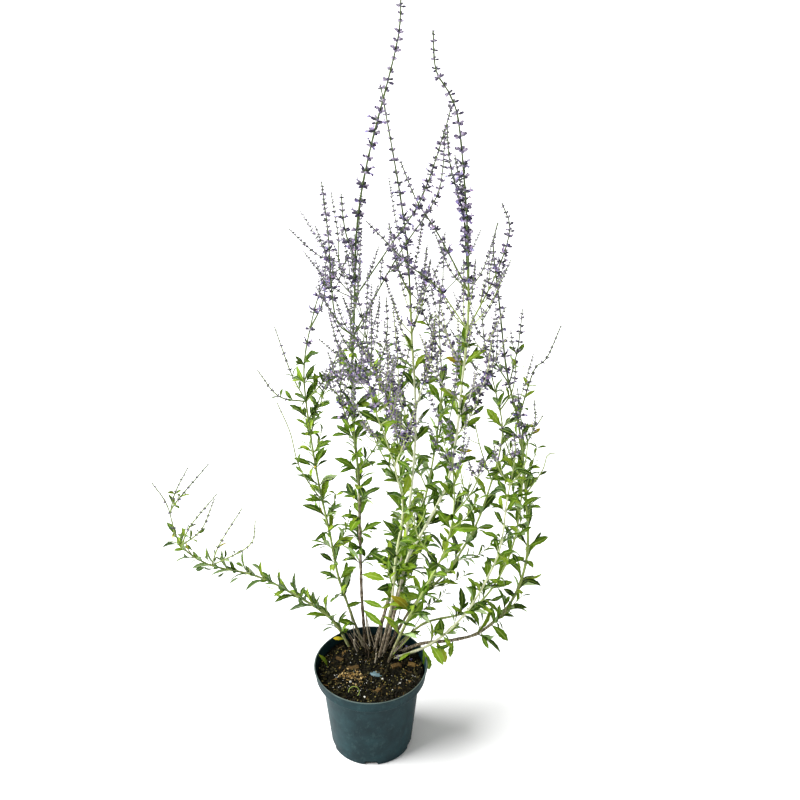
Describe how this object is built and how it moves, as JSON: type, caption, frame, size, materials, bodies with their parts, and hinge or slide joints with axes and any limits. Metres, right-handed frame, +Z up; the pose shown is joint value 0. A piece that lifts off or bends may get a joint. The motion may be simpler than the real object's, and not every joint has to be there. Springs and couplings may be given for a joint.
{
  "type": "potted russian sage",
  "caption": "Russian sage in a round tapered nursery pot: thin arching shoots with toothed leaf pairs and violet flower whorls rise from soil",
  "frame": {"origin": "On the pot's axis at its underside, where the pot stands on the ground", "axes": "+Z up along the pot's axis, +X to the right and +Y away from the front, from which the tallest shoots lean back"},
  "size_m": [0.5812, 0.326, 1.1451],
  "materials": {
    "pot": "satin",
    "soil": "matte",
    "stem": "matte",
    "leaf": "matte",
    "flower": "matte",
    "dry_stalk": "matte",
    "bark": "matte",
    "stone": "matte",
    "perlite": "matte"
  },
  "bodies": {
    "root": {"pot": "pot", "soil": "soil", "stone_flake": "stone", "fallen_leaf": "leaf", "dry_tendril": "dry_stalk", "shoot_left_low": "stem", "shoot_left": "stem", "shoot_tallest": "stem", "shoot_centre": "stem", "shoot_right_tall": "stem", "shoot_right_back": "stem", "shoot_right_low": "stem", "shoot_right_woody": "stem", "shoot_right_mid": "stem", "shoot_front": "stem", "shoot_back": "stem", "shoot_back_right": "stem", "shoot_front_right": "stem", "dry_stalk_1": "dry_stalk", "dry_stalk_2": "dry_stalk", "dry_stalk_3": "dry_stalk", "dry_stalk_4": "dry_stalk", "dry_stalk_5": "dry_stalk", "dry_stalk_6": "dry_stalk", "dry_stalk_7": "dry_stalk", "dry_stalk_8": "dry_stalk", "dry_stalk_9": "dry_stalk", "dry_stalk_10": "dry_stalk", "dry_stalk_11": "dry_stalk", "dry_stalk_12": "dry_stalk", "bark_chip_right": "bark", "bark_chip_left": "bark", "bark_chip_middle": "bark", "bark_chip_front": "bark", "bark_chip_back": "bark", "perlite_left": "perlite", "perlite_front": "perlite", "perlite_right": "perlite", "perlite_middle": "perlite"}
  },
  "joints": []
}
